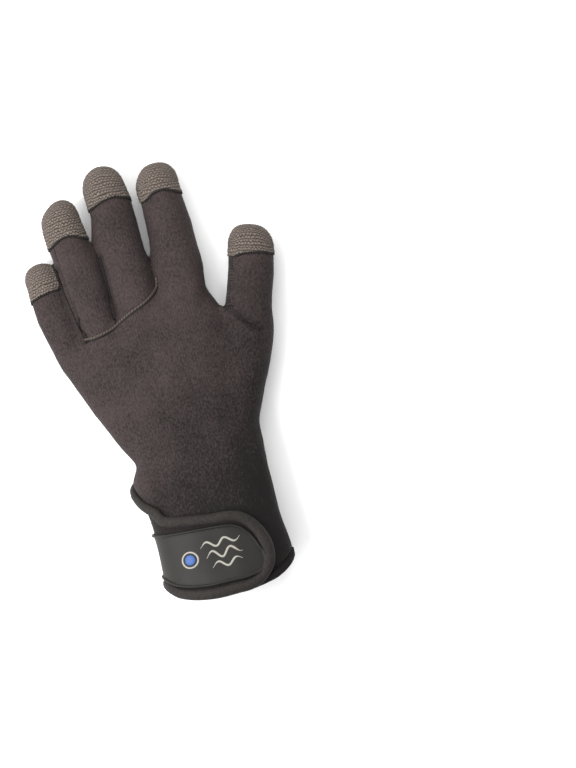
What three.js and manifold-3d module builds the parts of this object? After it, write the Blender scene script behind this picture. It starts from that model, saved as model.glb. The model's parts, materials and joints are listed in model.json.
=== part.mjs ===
// A five-finger neoprene diving glove for the left hand. It lies on its palm with its back up:
// +Y runs from the cuff to the fingertips, +X points to the thumb and +Z away from the table.
// The hand is hollow. A knitted palm panel wraps over all five fingertips, two panels cover the backs
// of the ring and middle fingers, and a bound strap is sewn on at the small finger's side of the wrist
// and closes over its back. Sizes are in millimetres, and angles in degrees.

import * as THREE from 'three';
import { mergeVertices } from 'three/addons/utils/BufferGeometryUtils.js';
import Module from 'manifold-3d';

const wasm = await Module();
wasm.setup();

// The cloth
const wall = 3; // thickness of the foam cloth
const seamGap = 0.3; // between two panels that are sewn edge to edge
const fingerGap = 1; // between two fingers that press on each other
const tableFlattening = 1.5; // how far the round of the hand is pressed flat by the table

// The hand, in which the wrist line is at y = 0
const palmLength = 106; // from the wrist line to the crotch of the middle finger
const palmWidth = 104;
const palmDepth = 35;
const cuffLength = 69; // from the wrist line to the rim, on the palm side
const cuffWidth = 73;
const cuffDepth = 46;
const rimBackReach = 14; // the rim reaches this much further out on the back
const handSquareness = 2.3; // 2 is an ellipse, and more is squarer
const fingerSquareness = 2.1;

// The seams of the palm panel
const palmSeamHeight = 16; // of the side seams above the table, along the hand
const fingerSeamHeight = 12.5;
const heelSeamFromWrist = -1; // the lowest point of the panel's lower edge
const heelSeamRise = 11; // how far that edge curves up at the small finger's side
const thumbSeamRoll = 28; // the thumb's two seams are turned about the thumb

// The strap, from the cloth outwards: the strap itself, then its binding and its rubber panel
const strapClearance = 0.3;
const strapThickness = 2.4;
const bindingThickness = 1.5;
const rubberThickness = 1.1;
const bindingWidth = 5;
const grooveWidth = 0.8; // between the binding and the rubber panel
const strapTopFromWrist = 32.5; // to the upper edge, where the rounded end starts
const strapSlope = 13; // the upper edge climbs towards the small finger
const strapEndReach = 31; // from the middle of the wrist to the rounded end
const strapEndRound = 24; // length of the rounded end
const strapRimMargin = 1.5; // from the rim to the strap's lower edge
const strapRootHeight = 5; // the strap is sewn on this high above the table
const strapRootClimb = 23; // the sewn root climbs this much towards the fingers

// Numbers of flat facets
const handSides = 30;
const fingerSides = 18;
const tipRings = 4;
const edgeSteps = 6;

// The hand's cross-sections from the rim to the knuckles. In the cuff, along is a share of the cuff's
// length, left and right of its width, and depth of its depth. In the palm they are shares of the palm's.
const cuffSections = [
  { along: -1.6, left: -0.49, right: 0.54, depth: 1.0 },
  { along: -1.0, left: -0.49, right: 0.54, depth: 1.0 },
  { along: -0.62, left: -0.48, right: 0.545, depth: 0.98 },
  { along: -0.3, left: -0.48, right: 0.55, depth: 0.97 },
  { along: -0.13, left: -0.545, right: 0.555, depth: 0.95 },
  { along: -0.02, left: -0.565, right: 0.56, depth: 0.92 },
];
const palmSections = [
  { along: 0.075, left: -0.345, right: 0.396, depth: 1.15 },
  { along: 0.19, left: -0.405, right: 0.41, depth: 1.1 },
  { along: 0.41, left: -0.5, right: 0.45, depth: 1.05 },
  { along: 0.6, left: -0.575, right: 0.455, depth: 1.0 },
  { along: 0.755, left: -0.628, right: 0.4, depth: 0.95 },
  { along: 0.84, left: -0.52, right: 0.365, depth: 0.88 },
  { along: 0.92, left: -0.35, right: 0.335, depth: 0.79 },
  { along: 0.985, left: -0.2, right: 0.27, depth: 0.66 },
  { along: 1.01, left: -0.08, right: 0.15, depth: 0.42 },
];

// The fingers. rootAcross and rootAlong are shares of the palm's width and length, rootHeight and
// tipHeight of the finger's depth, and tip, cap and capArch of its width. lean is the finger's angle to
// the hand's axis, towards the thumb. cap is how far the knit covers the back, and capArch how much
// its seam bows towards the tip. tipRound is 1 for a half-round tip, and less for a blunter one.
const fingers = {
  index: { width: 29.5, depth: 25, length: 95, rootAcross: 0.182, rootAlong: 0.8, lean: 2.4,
    rootHeight: 0.71, tipHeight: 0.49, tip: 0.45, tipRound: 1, cap: 0.62, capArch: 0.13 },
  middle: { width: 29, depth: 25, length: 101, rootAcross: -0.106, rootAlong: 0.8, lean: 1,
    rootHeight: 0.73, tipHeight: 0.54, tip: 0.45, tipRound: 1, cap: 0.72, capArch: 0.13 },
  ring: { width: 27.5, depth: 24.5, length: 97, rootAcross: -0.337, rootAlong: 0.72, lean: -2.4,
    rootHeight: 0.78, tipHeight: 0.69, tip: 0.49, tipRound: 1, cap: 0.87, capArch: 0.16 },
  small: { width: 24, depth: 21.5, length: 76, rootAcross: -0.505, rootAlong: 0.62, lean: -6.5,
    rootHeight: 0.68, tipHeight: 0.5, tip: 0.46, tipRound: 1, cap: 0.8, capArch: 0.1 },
  thumb: { width: 29.5, depth: 25.5, length: 61, rootAcross: 0.495, rootAlong: 0.667, lean: 16.5,
    rootHeight: 0.57, tipHeight: 0.52, tip: 0.38, tipRound: 0.8, cap: 0.57, capArch: 0.08 },
};

// Profiles of a finger and of the thumb, from the root to where the tip starts to round. along is a
// share of that way, width and depth of the finger's own.
const fingerProfile = [
  { along: 0.0, width: 0.6, depth: 0.62 },
  { along: 0.16, width: 0.92, depth: 0.93 },
  { along: 0.4, width: 1.0, depth: 1.0 },
  { along: 0.65, width: 0.99, depth: 0.98 },
  { along: 0.85, width: 0.96, depth: 0.96 },
  { along: 1.0, width: 0.94, depth: 0.95 },
];
const thumbProfile = [
  { along: 0.0, width: 1.08, depth: 1.14 },
  { along: 0.3, width: 1.0, depth: 1.04 },
  { along: 0.65, width: 0.97, depth: 0.98 },
  { along: 1.0, width: 0.95, depth: 0.95 },
];

// The ball of the thumb, from the wrist to the thumb's root. across and along are shares of the palm's
// width and length, width of the thumb's width and depth of the palm's depth.
const thumbBall = [
  { across: 0.2, along: 0.0, lean: 25, width: 0.7, depth: 0.8 },
  { across: 0.3, along: 0.24, lean: 24, width: 0.98, depth: 0.95 },
  { across: 0.4, along: 0.46, lean: 22, width: 1.13, depth: 0.9 },
];

// The knuckle seam, below the panels of the ring and middle fingers, as shares of the palm's width and
// length. It starts between the small and ring fingers and runs up beside the middle finger.
const knuckleSeam = [
  { across: -0.46, along: 0.835 },
  { across: -0.33, along: 0.853 },
  { across: -0.23, along: 0.88 },
  { across: -0.14, along: 0.925 },
  { across: -0.05, along: 0.945 },
  { across: 0.015, along: 0.98 },
  { across: 0.05, along: 1.03 },
];
const knuckleColumns = { ring: [-0.44, -0.235], middle: [-0.235, 0.05] };

// Where the thumb's seams take over from the palm's, as shares of the palm's width and length
const thumbCorner = { across: 0.385, along: 0.81 };
const thumbCornerLean = 7;

// Solids made from three.js geometry

const reach = 3 * palmLength; // well past the glove, for the blocks that cut it
const weldDistance = 0.01; // corners that a cut leaves closer than this are joined
const radians = THREE.MathUtils.degToRad;
const point = (x, y) => new THREE.Vector2(x, y);
const unite = (solids) => solids.reduce((sum, solid) => sum.add(solid));

function toSolid(geometry) {
  const bare = geometry.clone();
  bare.deleteAttribute('normal');
  bare.deleteAttribute('uv');
  const merged = mergeVertices(bare, weldDistance / 100);
  return new wasm.Manifold(new wasm.Mesh({
    numProp: 3,
    vertProperties: new Float32Array(merged.attributes.position.array),
    triVerts: new Uint32Array(merged.index.array),
  }));
}

// Turns a solid into a geometry, joins its closest corners and drops the faces that this closes up
function toGeometry(solid) {
  const mesh = solid.getMesh();
  const exact = new THREE.BufferGeometry();
  exact.setAttribute('position', new THREE.BufferAttribute(new Float32Array(mesh.vertProperties), 3));
  exact.setIndex(new THREE.BufferAttribute(new Uint32Array(mesh.triVerts), 1));
  const welded = mergeVertices(exact, weldDistance);
  const faces = [];
  for (let face = 0; face < welded.index.count; face += 3) {
    const corners = [0, 1, 2].map((corner) => welded.index.getX(face + corner));
    if (new Set(corners).size === 3) faces.push(...corners);
  }
  welded.setIndex(faces);
  return welded;
}

// The main body of a solid, without the crumbs that a cut leaves beside it
const mainBody = (solid) => solid.decompose()
  .reduce((most, body) => (body.volume() > most.volume() ? body : most));

// Joins rings of points, each with as many points as the next, into one closed geometry
function loft(rings) {
  const count = rings[0].length;
  const points = rings.flat();
  const faces = [];
  for (let ring = 0; ring + 1 < rings.length; ring += 1) {
    for (let side = 0; side < count; side += 1) {
      const here = ring * count + side;
      const beside = ring * count + ((side + 1) % count);
      faces.push(here, beside, beside + count, here, beside + count, here + count);
    }
  }
  const middle = (ring) => ring.reduce((sum, p) => sum.add(p), new THREE.Vector3()).divideScalar(count);
  const first = points.push(middle(rings[0])) - 1;
  const last = points.push(middle(rings[rings.length - 1])) - 1;
  const top = (rings.length - 1) * count;
  for (let side = 0; side < count; side += 1) {
    const beside = (side + 1) % count;
    faces.push(first, beside, side, last, top + side, top + beside);
  }
  const geometry = new THREE.BufferGeometry().setFromPoints(points);
  geometry.setIndex(faces);
  return toSolid(geometry);
}

// A block that stands on a plan outline, from one height to another
function prism(outline, low = -reach, high = reach) {
  const shape = new THREE.Shape(outline);
  const geometry = new THREE.ExtrudeGeometry(shape, { depth: high - low, bevelEnabled: false });
  return toSolid(geometry.translate(0, 0, low));
}

// A block whose side view, in Y and Z, is the outline, and which runs right across the glove
function sideProfile(outline) {
  const shape = new THREE.Shape(outline);
  const geometry = new THREE.ExtrudeGeometry(shape, { depth: 2 * reach, bevelEnabled: false });
  geometry.translate(0, 0, -reach);
  const across = new THREE.Matrix4().makeBasis(
    new THREE.Vector3(0, 1, 0), new THREE.Vector3(0, 0, 1), new THREE.Vector3(1, 0, 0));
  return toSolid(geometry.applyMatrix4(across));
}

const aboveHeight = (height) => sideProfile(
  [point(-reach, height), point(reach, height), point(reach, reach), point(-reach, reach)]);
const leftOf = (x) => prism([point(-reach, -reach), point(x, -reach), point(x, reach), point(-reach, reach)]);

// The hand and its fingers. grow is added all round, and is negative for the hollow.

// A cross-section: a squared ellipse in the upright plane that faces along the lean
function section({ x, y, z, lean, halfWidth, halfDepth, squareness, sides }) {
  const right = new THREE.Vector3(Math.cos(radians(lean)), -Math.sin(radians(lean)), 0);
  const squared = (value) => Math.sign(value) * Math.abs(value) ** (2 / squareness);
  return Array.from({ length: sides }, (_, side) => {
    const angle = -2 * Math.PI * (side + 0.5) / sides;
    return new THREE.Vector3(x, y, z)
      .addScaledVector(right, halfWidth * squared(Math.cos(angle)))
      .add(new THREE.Vector3(0, 0, halfDepth * squared(Math.sin(angle))));
  });
}

function hand(grow) {
  const rows = [
    ...cuffSections.map((row) => ({ row, length: cuffLength, width: cuffWidth, depth: cuffDepth })),
    ...palmSections.map((row) => ({ row, length: palmLength, width: palmWidth, depth: palmDepth })),
  ];
  return loft(rows.map(({ row, length, width, depth }, index) => section({
    x: (row.left + row.right) / 2 * width,
    y: row.along * length + (index === rows.length - 1 ? grow : 0),
    z: row.depth * depth / 2 - tableFlattening,
    lean: 0,
    halfWidth: (row.right - row.left) / 2 * width + grow,
    halfDepth: row.depth * depth / 2 + grow,
    squareness: handSquareness,
    sides: handSides,
  })));
}

// A finger's middle line, at a distance from its root
function onFinger(finger, distance) {
  return {
    x: finger.rootAcross * palmWidth + Math.sin(radians(finger.lean)) * distance,
    y: finger.rootAlong * palmLength + Math.cos(radians(finger.lean)) * distance,
    z: THREE.MathUtils.lerp(finger.rootHeight, finger.tipHeight, distance / finger.length) * finger.depth,
    lean: finger.lean,
    squareness: fingerSquareness,
    sides: fingerSides,
  };
}

function fingerShaft(finger, profile, grow) {
  const tip = finger.tip * finger.width;
  const straight = finger.length - tip;
  const last = profile[profile.length - 1];
  const shaft = profile.map((row) => section({
    ...onFinger(finger, row.along * straight),
    halfWidth: row.width * finger.width / 2 + grow,
    halfDepth: row.depth * finger.depth / 2 + grow,
  }));
  const round = Array.from({ length: tipRings }, (_, step) => {
    const turn = (step + 1) / (tipRings + 0.35) * Math.PI / 2;
    const share = Math.cos(turn) ** finger.tipRound;
    return section({
      ...onFinger(finger, straight + (tip + grow) * Math.sin(turn)),
      halfWidth: (last.width * finger.width / 2 + grow) * share,
      halfDepth: (last.depth * finger.depth / 2 + grow) * share,
    });
  });
  return [...shaft, ...round];
}

// The thumb's rings start in the hand, with the ball of the thumb
function thumbRings(grow) {
  const ball = thumbBall.map((row) => section({
    x: row.across * palmWidth,
    y: row.along * palmLength,
    z: row.depth * palmDepth / 2 - tableFlattening,
    lean: row.lean,
    halfWidth: row.width * fingers.thumb.width / 2 + grow,
    halfDepth: row.depth * palmDepth / 2 + grow,
    squareness: handSquareness,
    sides: fingerSides,
  }));
  return [...ball, ...fingerShaft(fingers.thumb, thumbProfile, grow)];
}

function fingerTube(finger, grow) {
  return loft(finger === fingers.thumb ? thumbRings(grow) : fingerShaft(finger, fingerProfile, grow));
}

// All five fingers, with each outer one pressed in by its neighbour
function allFingers(grow) {
  const { index, middle, ring, small, thumb } = fingers;
  const clear = fingerGap + Math.max(0, -grow);
  const besideMiddle = fingerTube(middle, clear);
  return unite([
    fingerTube(middle, grow),
    fingerTube(index, grow).subtract(besideMiddle),
    fingerTube(ring, grow).subtract(besideMiddle),
    fingerTube(small, grow).subtract(fingerTube(ring, clear)),
    fingerTube(thumb, grow),
  ]);
}

// Everything on the finger side of the rim, or of a line that is set back from it. The rim is straight
// across the palm side and slants out over the back.
function beyondRim(setback) {
  const half = cuffDepth / 2;
  const slant = rimBackReach / half;
  const line = -cuffLength + setback;
  return sideProfile([
    point(line, -reach), point(reach, -reach), point(reach, reach),
    point(line - slant * (reach - half), reach), point(line, half)]);
}

const outside = unite([hand(0), allFingers(0)]).intersect(aboveHeight(0));
const hollow = unite([hand(-wall), allFingers(-wall)]).intersect(aboveHeight(wall));
const shell = outside.subtract(hollow).intersect(beyondRim(0));

// The palm panel: below the side seams, above the heel seam, and over every fingertip. In each zone
// grow moves the edge outwards, so that the panels beside it are cut back by the seam's gap.

function aboveHeelSeam(grow) {
  const lowestAt = palmWidth / 8;
  const half = palmWidth / 2;
  const outline = Array.from({ length: 4 * edgeSteps + 1 }, (_, step) => {
    const share = step / edgeSteps - 2;
    return point(lowestAt + share * half, heelSeamFromWrist + heelSeamRise * share ** 2 - grow);
  });
  outline.push(point(reach, reach), point(-reach, reach));
  return prism(outline);
}

function belowSideSeams(grow) {
  return sideProfile([
    point(-reach, -reach), point(reach, -reach),
    point(reach, fingerSeamHeight + grow), point(palmLength, fingerSeamHeight + grow),
    point(palmLength / 2, palmSeamHeight + grow), point(-reach, palmSeamHeight + grow)]);
}

function thumbSide() {
  const corner = point(thumbCorner.across * palmWidth, thumbCorner.along * palmLength);
  const lean = Math.tan(radians(thumbCornerLean));
  return prism([
    point(palmWidth / 4, -cuffLength / 2), point(reach, -cuffLength / 2), point(reach, reach),
    point(corner.x + lean * (reach - corner.y), reach), corner,
    point(corner.x, palmLength / 2)]);
}

function belowThumbSeams(grow) {
  const { thumb } = fingers;
  const middle = onFinger(thumb, thumb.length / 4);
  const block = new THREE.BoxGeometry(2 * reach, 2 * reach, reach);
  block.translate(0, 0, grow - reach / 2);
  block.rotateY(radians(thumbSeamRoll));
  block.rotateZ(-radians(thumb.lean));
  block.translate(middle.x, middle.y, middle.z);
  return toSolid(block);
}

// The end of a finger, past the seam across its back
function fingertip(finger, grow) {
  const side = 0.6 * finger.width;
  const seam = finger.length - finger.cap * finger.width - grow;
  const corner = (share, distance) => {
    const middle = onFinger(finger, distance);
    return point(
      middle.x + share * side * Math.cos(radians(finger.lean)),
      middle.y - share * side * Math.sin(radians(finger.lean)));
  };
  const outline = Array.from({ length: edgeSteps + 1 }, (_, step) => {
    const share = 2 * step / edgeSteps - 1;
    return corner(share, seam - finger.capArch * finger.width * share ** 2);
  });
  outline.push(corner(1, finger.length + wall), corner(-1, finger.length + wall));
  return prism(outline).intersect(fingerTube(finger, fingerGap / 3));
}

function palmZone(grow) {
  const sides = belowSideSeams(grow).subtract(thumbSide());
  const thumb = belowThumbSeams(grow).intersect(thumbSide());
  return unite([
    sides.add(thumb).intersect(aboveHeelSeam(grow)),
    ...Object.values(fingers).map((finger) => fingertip(finger, grow)),
  ]);
}

// The panels on the backs of the ring and middle fingers, beyond the knuckle seam

function beyondKnuckles(grow) {
  const seam = knuckleSeam.map((row) => point(row.across * palmWidth, row.along * palmLength - grow));
  const first = seam[0];
  const last = seam[seam.length - 1];
  return prism([...seam, point(last.x + grow, reach), point(first.x - grow, reach)]);
}

function fingerBack(name, grow) {
  const [from, to] = knuckleColumns[name].map((share, side) => share * palmWidth + (side ? grow : -grow));
  const low = palmLength / 2;
  const column = prism([point(from, low), point(to, low), point(to, palmLength), point(from, palmLength)]);
  return fingerTube(fingers[name], fingerGap / 3 + grow).add(column).intersect(beyondKnuckles(grow));
}

// The strap, cut out of layers around the wrist

const strapUpperEdge = (x) => {
  const roundStart = strapEndReach - strapEndRound;
  return (roundStart - x) * Math.tan(radians(strapSlope)) - strapTopFromWrist;
};

// Its outline on the back of the wrist, set in from the edge
function strapOutline(inset) {
  const right = strapEndReach - inset;
  const roundStart = strapEndReach - strapEndRound;
  const top = strapUpperEdge(roundStart) - inset;
  const low = -cuffLength - rimBackReach;
  const middle = (top + low) / 2;
  const corner = strapEndRound / 2;
  const shape = new THREE.Shape();
  shape.moveTo(-reach, strapUpperEdge(-reach) - inset);
  shape.lineTo(-reach, low);
  shape.lineTo(roundStart, low);
  shape.bezierCurveTo(right, low, right, middle - corner, right, middle);
  shape.bezierCurveTo(right, middle + corner, roundStart + corner, top, roundStart, top);
  return prism(shape.getPoints(edgeSteps));
}

// Its outline on the small finger's side, where the sewn root climbs under the edge of the hand
function strapRoot(inset) {
  const edge = -cuffWidth * 0.43;
  const line = strapUpperEdge(edge) - inset;
  return sideProfile([
    point(-reach, -reach), point(line + strapRootClimb, -reach),
    point(line + strapRootClimb, strapRootHeight),
    point(line + strapRootClimb * 0.8, cuffDepth * 0.42),
    point(line, cuffDepth * 0.72), point(line, reach), point(-reach, reach),
  ]).intersect(leftOf(edge));
}

const strapZone = (inset) => strapOutline(inset).add(strapRoot(inset))
  .intersect(beyondRim(strapRimMargin + inset));

const wristLayer = (from, to) => hand(to).subtract(hand(from)).intersect(aboveHeight(strapRootHeight));

// The model

const neoprene = new THREE.MeshStandardMaterial({ color: 0x48403f, roughness: 0.85, metalness: 0 });
const knit = new THREE.MeshStandardMaterial({ color: 0x6c615c, roughness: 0.95, metalness: 0 });
const boundCloth = new THREE.MeshStandardMaterial({ color: 0x383433, roughness: 0.8, metalness: 0 });
const rubber = new THREE.MeshStandardMaterial({ color: 0x35312d, roughness: 0.6, metalness: 0 });

const group = new THREE.Group();
group.name = 'diving_glove';

function addPiece(name, solid, material) {
  const welded = toSolid(toGeometry(mainBody(solid)));
  const piece = new THREE.Mesh(toGeometry(mainBody(welded)), material);
  piece.name = name;
  group.add(piece);
}

const backs = shell.subtract(palmZone(seamGap));
addPiece('palm_panel', shell.intersect(palmZone(0)), knit);
addPiece('middle_finger_back', backs.intersect(fingerBack('middle', 0)), neoprene);
addPiece('ring_finger_back',
  backs.intersect(fingerBack('ring', 0)).subtract(fingerBack('middle', seamGap)), neoprene);
addPiece('back_panel',
  backs.subtract(fingerBack('middle', seamGap)).subtract(fingerBack('ring', seamGap)), neoprene);

const strapTop = strapClearance + strapThickness;
const onStrap = strapTop + seamGap;
addPiece('wrist_strap', wristLayer(strapClearance, strapTop).intersect(strapZone(0)), boundCloth);
addPiece('strap_binding', wristLayer(onStrap, onStrap + bindingThickness)
  .intersect(strapZone(0)).subtract(strapZone(bindingWidth)), boundCloth);
addPiece('strap_rubber', wristLayer(onStrap, onStrap + rubberThickness)
  .intersect(strapZone(bindingWidth + grooveWidth)), rubber);

// The origin is under the middle of the glove, on the table
const box = new THREE.Box3().setFromObject(group);
group.position.set(-(box.min.x + box.max.x) / 2, -(box.min.y + box.max.y) / 2, -box.min.z);

export default group;
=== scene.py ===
# %% [markdown]
# A neoprene diving glove, dressed around its measured frame.
# The frame is a plain faceted model of the glove: it has the right sizes and panels, but no cloth. This
# notebook keeps its sizes and puts the cloth on: soft panels, a coarse knit, seams, stitches and a strap.

# %% Load the frame
import json
import math

import bmesh
import bpy
import numpy as np
from mathutils import Matrix, Vector
from mathutils.bvhtree import BVHTree
from mathutils.kdtree import KDTree
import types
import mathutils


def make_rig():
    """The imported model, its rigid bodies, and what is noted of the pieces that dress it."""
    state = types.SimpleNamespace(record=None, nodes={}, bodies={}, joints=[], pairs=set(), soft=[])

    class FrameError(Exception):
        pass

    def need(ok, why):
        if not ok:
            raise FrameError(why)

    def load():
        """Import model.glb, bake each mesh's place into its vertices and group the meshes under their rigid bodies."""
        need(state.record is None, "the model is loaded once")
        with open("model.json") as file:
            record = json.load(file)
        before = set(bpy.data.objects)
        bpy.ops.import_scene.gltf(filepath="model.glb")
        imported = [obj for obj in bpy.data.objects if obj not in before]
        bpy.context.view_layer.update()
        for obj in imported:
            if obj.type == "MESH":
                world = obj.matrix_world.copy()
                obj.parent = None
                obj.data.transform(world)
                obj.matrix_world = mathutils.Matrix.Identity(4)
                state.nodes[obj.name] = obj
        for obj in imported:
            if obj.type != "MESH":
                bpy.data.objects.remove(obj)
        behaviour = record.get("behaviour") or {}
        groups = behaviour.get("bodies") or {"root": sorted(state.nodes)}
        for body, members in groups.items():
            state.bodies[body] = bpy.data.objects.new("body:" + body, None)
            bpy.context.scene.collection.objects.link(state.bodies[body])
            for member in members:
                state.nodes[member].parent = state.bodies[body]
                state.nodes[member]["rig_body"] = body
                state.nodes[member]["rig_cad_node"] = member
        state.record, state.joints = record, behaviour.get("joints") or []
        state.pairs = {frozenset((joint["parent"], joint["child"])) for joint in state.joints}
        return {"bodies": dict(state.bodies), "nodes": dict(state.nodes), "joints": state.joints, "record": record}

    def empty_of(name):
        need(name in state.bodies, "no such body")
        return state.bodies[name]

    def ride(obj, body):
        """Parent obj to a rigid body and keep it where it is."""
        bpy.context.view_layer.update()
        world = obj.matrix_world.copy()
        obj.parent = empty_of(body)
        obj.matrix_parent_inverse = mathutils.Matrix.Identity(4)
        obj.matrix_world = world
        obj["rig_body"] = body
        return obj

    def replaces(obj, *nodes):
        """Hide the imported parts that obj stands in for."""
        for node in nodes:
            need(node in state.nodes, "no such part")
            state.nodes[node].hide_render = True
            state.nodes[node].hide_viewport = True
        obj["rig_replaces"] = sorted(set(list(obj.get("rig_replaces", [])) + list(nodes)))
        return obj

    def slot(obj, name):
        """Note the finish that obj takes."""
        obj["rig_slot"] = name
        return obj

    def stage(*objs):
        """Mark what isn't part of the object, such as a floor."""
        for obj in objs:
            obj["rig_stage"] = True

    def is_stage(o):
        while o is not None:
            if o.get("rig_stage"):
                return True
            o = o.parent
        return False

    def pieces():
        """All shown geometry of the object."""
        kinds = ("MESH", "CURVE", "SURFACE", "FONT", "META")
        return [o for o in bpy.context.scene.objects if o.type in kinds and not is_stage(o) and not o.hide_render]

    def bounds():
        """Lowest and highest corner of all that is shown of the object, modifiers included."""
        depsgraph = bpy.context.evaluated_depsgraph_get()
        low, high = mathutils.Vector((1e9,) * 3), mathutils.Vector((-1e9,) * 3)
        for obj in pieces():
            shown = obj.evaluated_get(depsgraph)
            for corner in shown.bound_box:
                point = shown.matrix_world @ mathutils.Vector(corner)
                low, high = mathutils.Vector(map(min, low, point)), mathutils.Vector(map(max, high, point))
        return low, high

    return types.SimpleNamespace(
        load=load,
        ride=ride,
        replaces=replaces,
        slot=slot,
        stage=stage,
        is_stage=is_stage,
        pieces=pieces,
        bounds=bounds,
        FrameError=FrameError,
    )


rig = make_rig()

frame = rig.load()
cad_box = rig.bounds()
print("CAD nodes:", ", ".join(sorted(frame["nodes"])))
print("CAD box in mm:", [[round(1000 * value, 1) for value in corner] for corner in cad_box])

# %% [markdown]
# A glove is easiest to think about from the wrist line, in millimetres: +Y runs to the fingertips, +X to
# the thumb and +Z from the palm to the back. The frame's own origin is elsewhere, so everything is modelled
# in the glove's frame and each finished piece is moved once, in its mesh, to the place that the frame gives
# it. The frame's resting face lies 40 mm up the palm from the wrist line, and that fixes the move.

# %% The glove's own frame
MM = 0.001
REST_FROM_WRIST = 40
rest_face = Vector(frame["record"]["mounts"][0]["pos_m"])
wrist_origin = rest_face - Vector((0, REST_FROM_WRIST * MM, 0))
TO_GLOVE = Matrix.Scale(1 / MM, 4) @ Matrix.Translation(-wrist_origin)
TO_ROW = TO_GLOVE.inverted()
print("wrist line in the frame, mm:", [round(value / MM, 1) for value in wrist_origin])

# %% [markdown]
# Cloth is pushed about by small sums on many points, so a few helpers hand a mesh's points to numpy and
# back. Smoothing moves each point towards the mean of its neighbours. A point on an open border only
# listens to the border, so that the border keeps its place. Smoothing alone would shrink a finger. What it
# took away is smoothed as well and given back, which leaves the round shape and loses only the facets.

# %% Helpers for meshes and smoothing
def numbers_of(items, name, width=1, kind=np.int64):
    """One property of a mesh's points, edges or corners, in rows of a width."""
    flat = np.empty(width * len(items), kind)
    items.foreach_get(name, flat)
    return flat.reshape(-1, width) if width > 1 else flat


def points_of(mesh):
    return numbers_of(mesh.vertices, "co", 3, float)


def normals_of(mesh):
    return numbers_of(mesh.vertex_normals, "vector", 3, float)


def move_points(mesh, places):
    mesh.vertices.foreach_set("co", places.ravel())
    mesh.update()


def edges_of(mesh):
    """Both ends of each edge, and whether it is open, with one face only."""
    sides = numbers_of(mesh.loops, "edge_index")
    return numbers_of(mesh.edges, "vertices", 2), np.bincount(sides, minlength=len(mesh.edges)) == 1


def neighbours_of(mesh):
    """Pairs of a point and a neighbour that it listens to."""
    ends, open_edge = edges_of(mesh)
    on_border = np.zeros(len(mesh.vertices), bool)
    on_border[ends[open_edge]] = True
    pairs = np.concatenate([ends, ends[:, ::-1]])
    heard = ~on_border[pairs[:, 0]] | np.concatenate([open_edge, open_edge])
    return pairs[heard]


def smooth(values, pairs, times, share=0.5):
    """Blurs values, one row for each point, over the mesh. share may differ from point to point."""
    count = np.maximum(np.bincount(pairs[:, 0], minlength=len(values)), 1)
    result = values.astype(float).reshape(len(values), -1)
    weight = np.broadcast_to(np.asarray(share, float), len(values))[:, None]
    for _ in range(times):
        total = [np.bincount(pairs[:, 0], column[pairs[:, 1]], len(values)) for column in result.T]
        result = result + weight * (np.stack(total, 1) / count[:, None] - result)
    return result.reshape(values.shape)


def smooth_keeping_size(places, pairs, times, share=0.5):
    softened = smooth(places, pairs, times, share)
    return softened + smooth(places - softened, pairs, times, share)


def to_mesh(bm, name):
    mesh = bpy.data.meshes.new(name)
    bm.to_mesh(mesh)
    bm.free()
    return mesh


def to_object(data, name):
    piece = bpy.data.objects.new(name, data)
    bpy.context.scene.collection.objects.link(piece)
    return piece


def apply_modifiers(piece):
    shown = piece.evaluated_get(bpy.context.evaluated_depsgraph_get())
    mesh = bpy.data.meshes.new_from_object(shown)
    piece.modifiers.clear()
    piece.data = mesh


def ease(value):
    """0 below 0, 1 above 1 and a soft step between."""
    inside = np.clip(value, 0, 1)
    return inside * inside * (3 - 2 * inside)


print("helpers ready")

# %% [markdown]
# A material is a small graph of nodes. One function adds a node, sets it up and plugs in what feeds it, and
# the rest only uses that one. A few short functions name the nodes that come up again and again. Colours
# are written as the hex values that a paint program shows, and one function turns them to Blender's linear
# values.

# %% Helpers for materials
FACTOR, COLOUR_A, COLOUR_B, MIXED = 0, 6, 7, 2


def linear(hex_colour):
    values = [int(hex_colour[at:at + 2], 16) / 255 for at in (1, 3, 5)]
    return [v / 12.92 if v <= 0.04045 else ((v + 0.055) / 1.055) ** 2.4 for v in values] + [1]


def add_node(material, kind, sockets=None, **settings):
    node = material.node_tree.nodes.new(kind)
    for name, value in settings.items():
        setattr(node, name, value)
    for socket, value in (sockets or {}).items():
        if isinstance(value, bpy.types.NodeSocket):
            material.node_tree.links.new(value, node.inputs[socket])
        else:
            node.inputs[socket].default_value = value
    return node


def new_material(name):
    material = bpy.data.materials.new(name)
    material.use_nodes = True
    material.node_tree.nodes.clear()
    return material


def object_place(material):
    return add_node(material, "ShaderNodeTexCoord").outputs["Object"]


def maths(material, operation, *values, **settings):
    """One sum in the graph. The values are numbers or sockets."""
    node = add_node(material, "ShaderNodeMath", dict(enumerate(values)), operation=operation, **settings)
    return node.outputs[0]


def map_range(material, value, low, high, to_low=0.0, to_high=1.0):
    sockets = {"Value": value, "From Min": low, "From Max": high, "To Min": to_low, "To Max": to_high}
    return add_node(material, "ShaderNodeMapRange", sockets).outputs["Result"]


def noise(material, place, size, detail, roughness=0.5):
    """Noise with grains of a size in millimetres."""
    return add_node(material, "ShaderNodeTexNoise", {
        "Vector": place, "Scale": 1 / (size * MM), "Detail": detail, "Roughness": roughness}).outputs["Fac"]


def blend(material, amount, dark, light):
    return add_node(material, "ShaderNodeMix", {
        FACTOR: amount, COLOUR_A: linear(dark), COLOUR_B: linear(light)}, data_type="RGBA").outputs[MIXED]


def relief_of(material, height, strength, distance):
    return add_node(material, "ShaderNodeBump", {
        "Height": height, "Strength": strength, "Distance": distance * MM}).outputs["Normal"]


def finish_material(material, colour, sockets, bump=None):
    shader = {"Base Color": colour, **sockets}
    if bump:
        shader["Normal"] = bump
    surface = add_node(material, "ShaderNodeBsdfPrincipled", shader)
    add_node(material, "ShaderNodeOutputMaterial", {"Surface": surface.outputs["BSDF"]})
    return material


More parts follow.
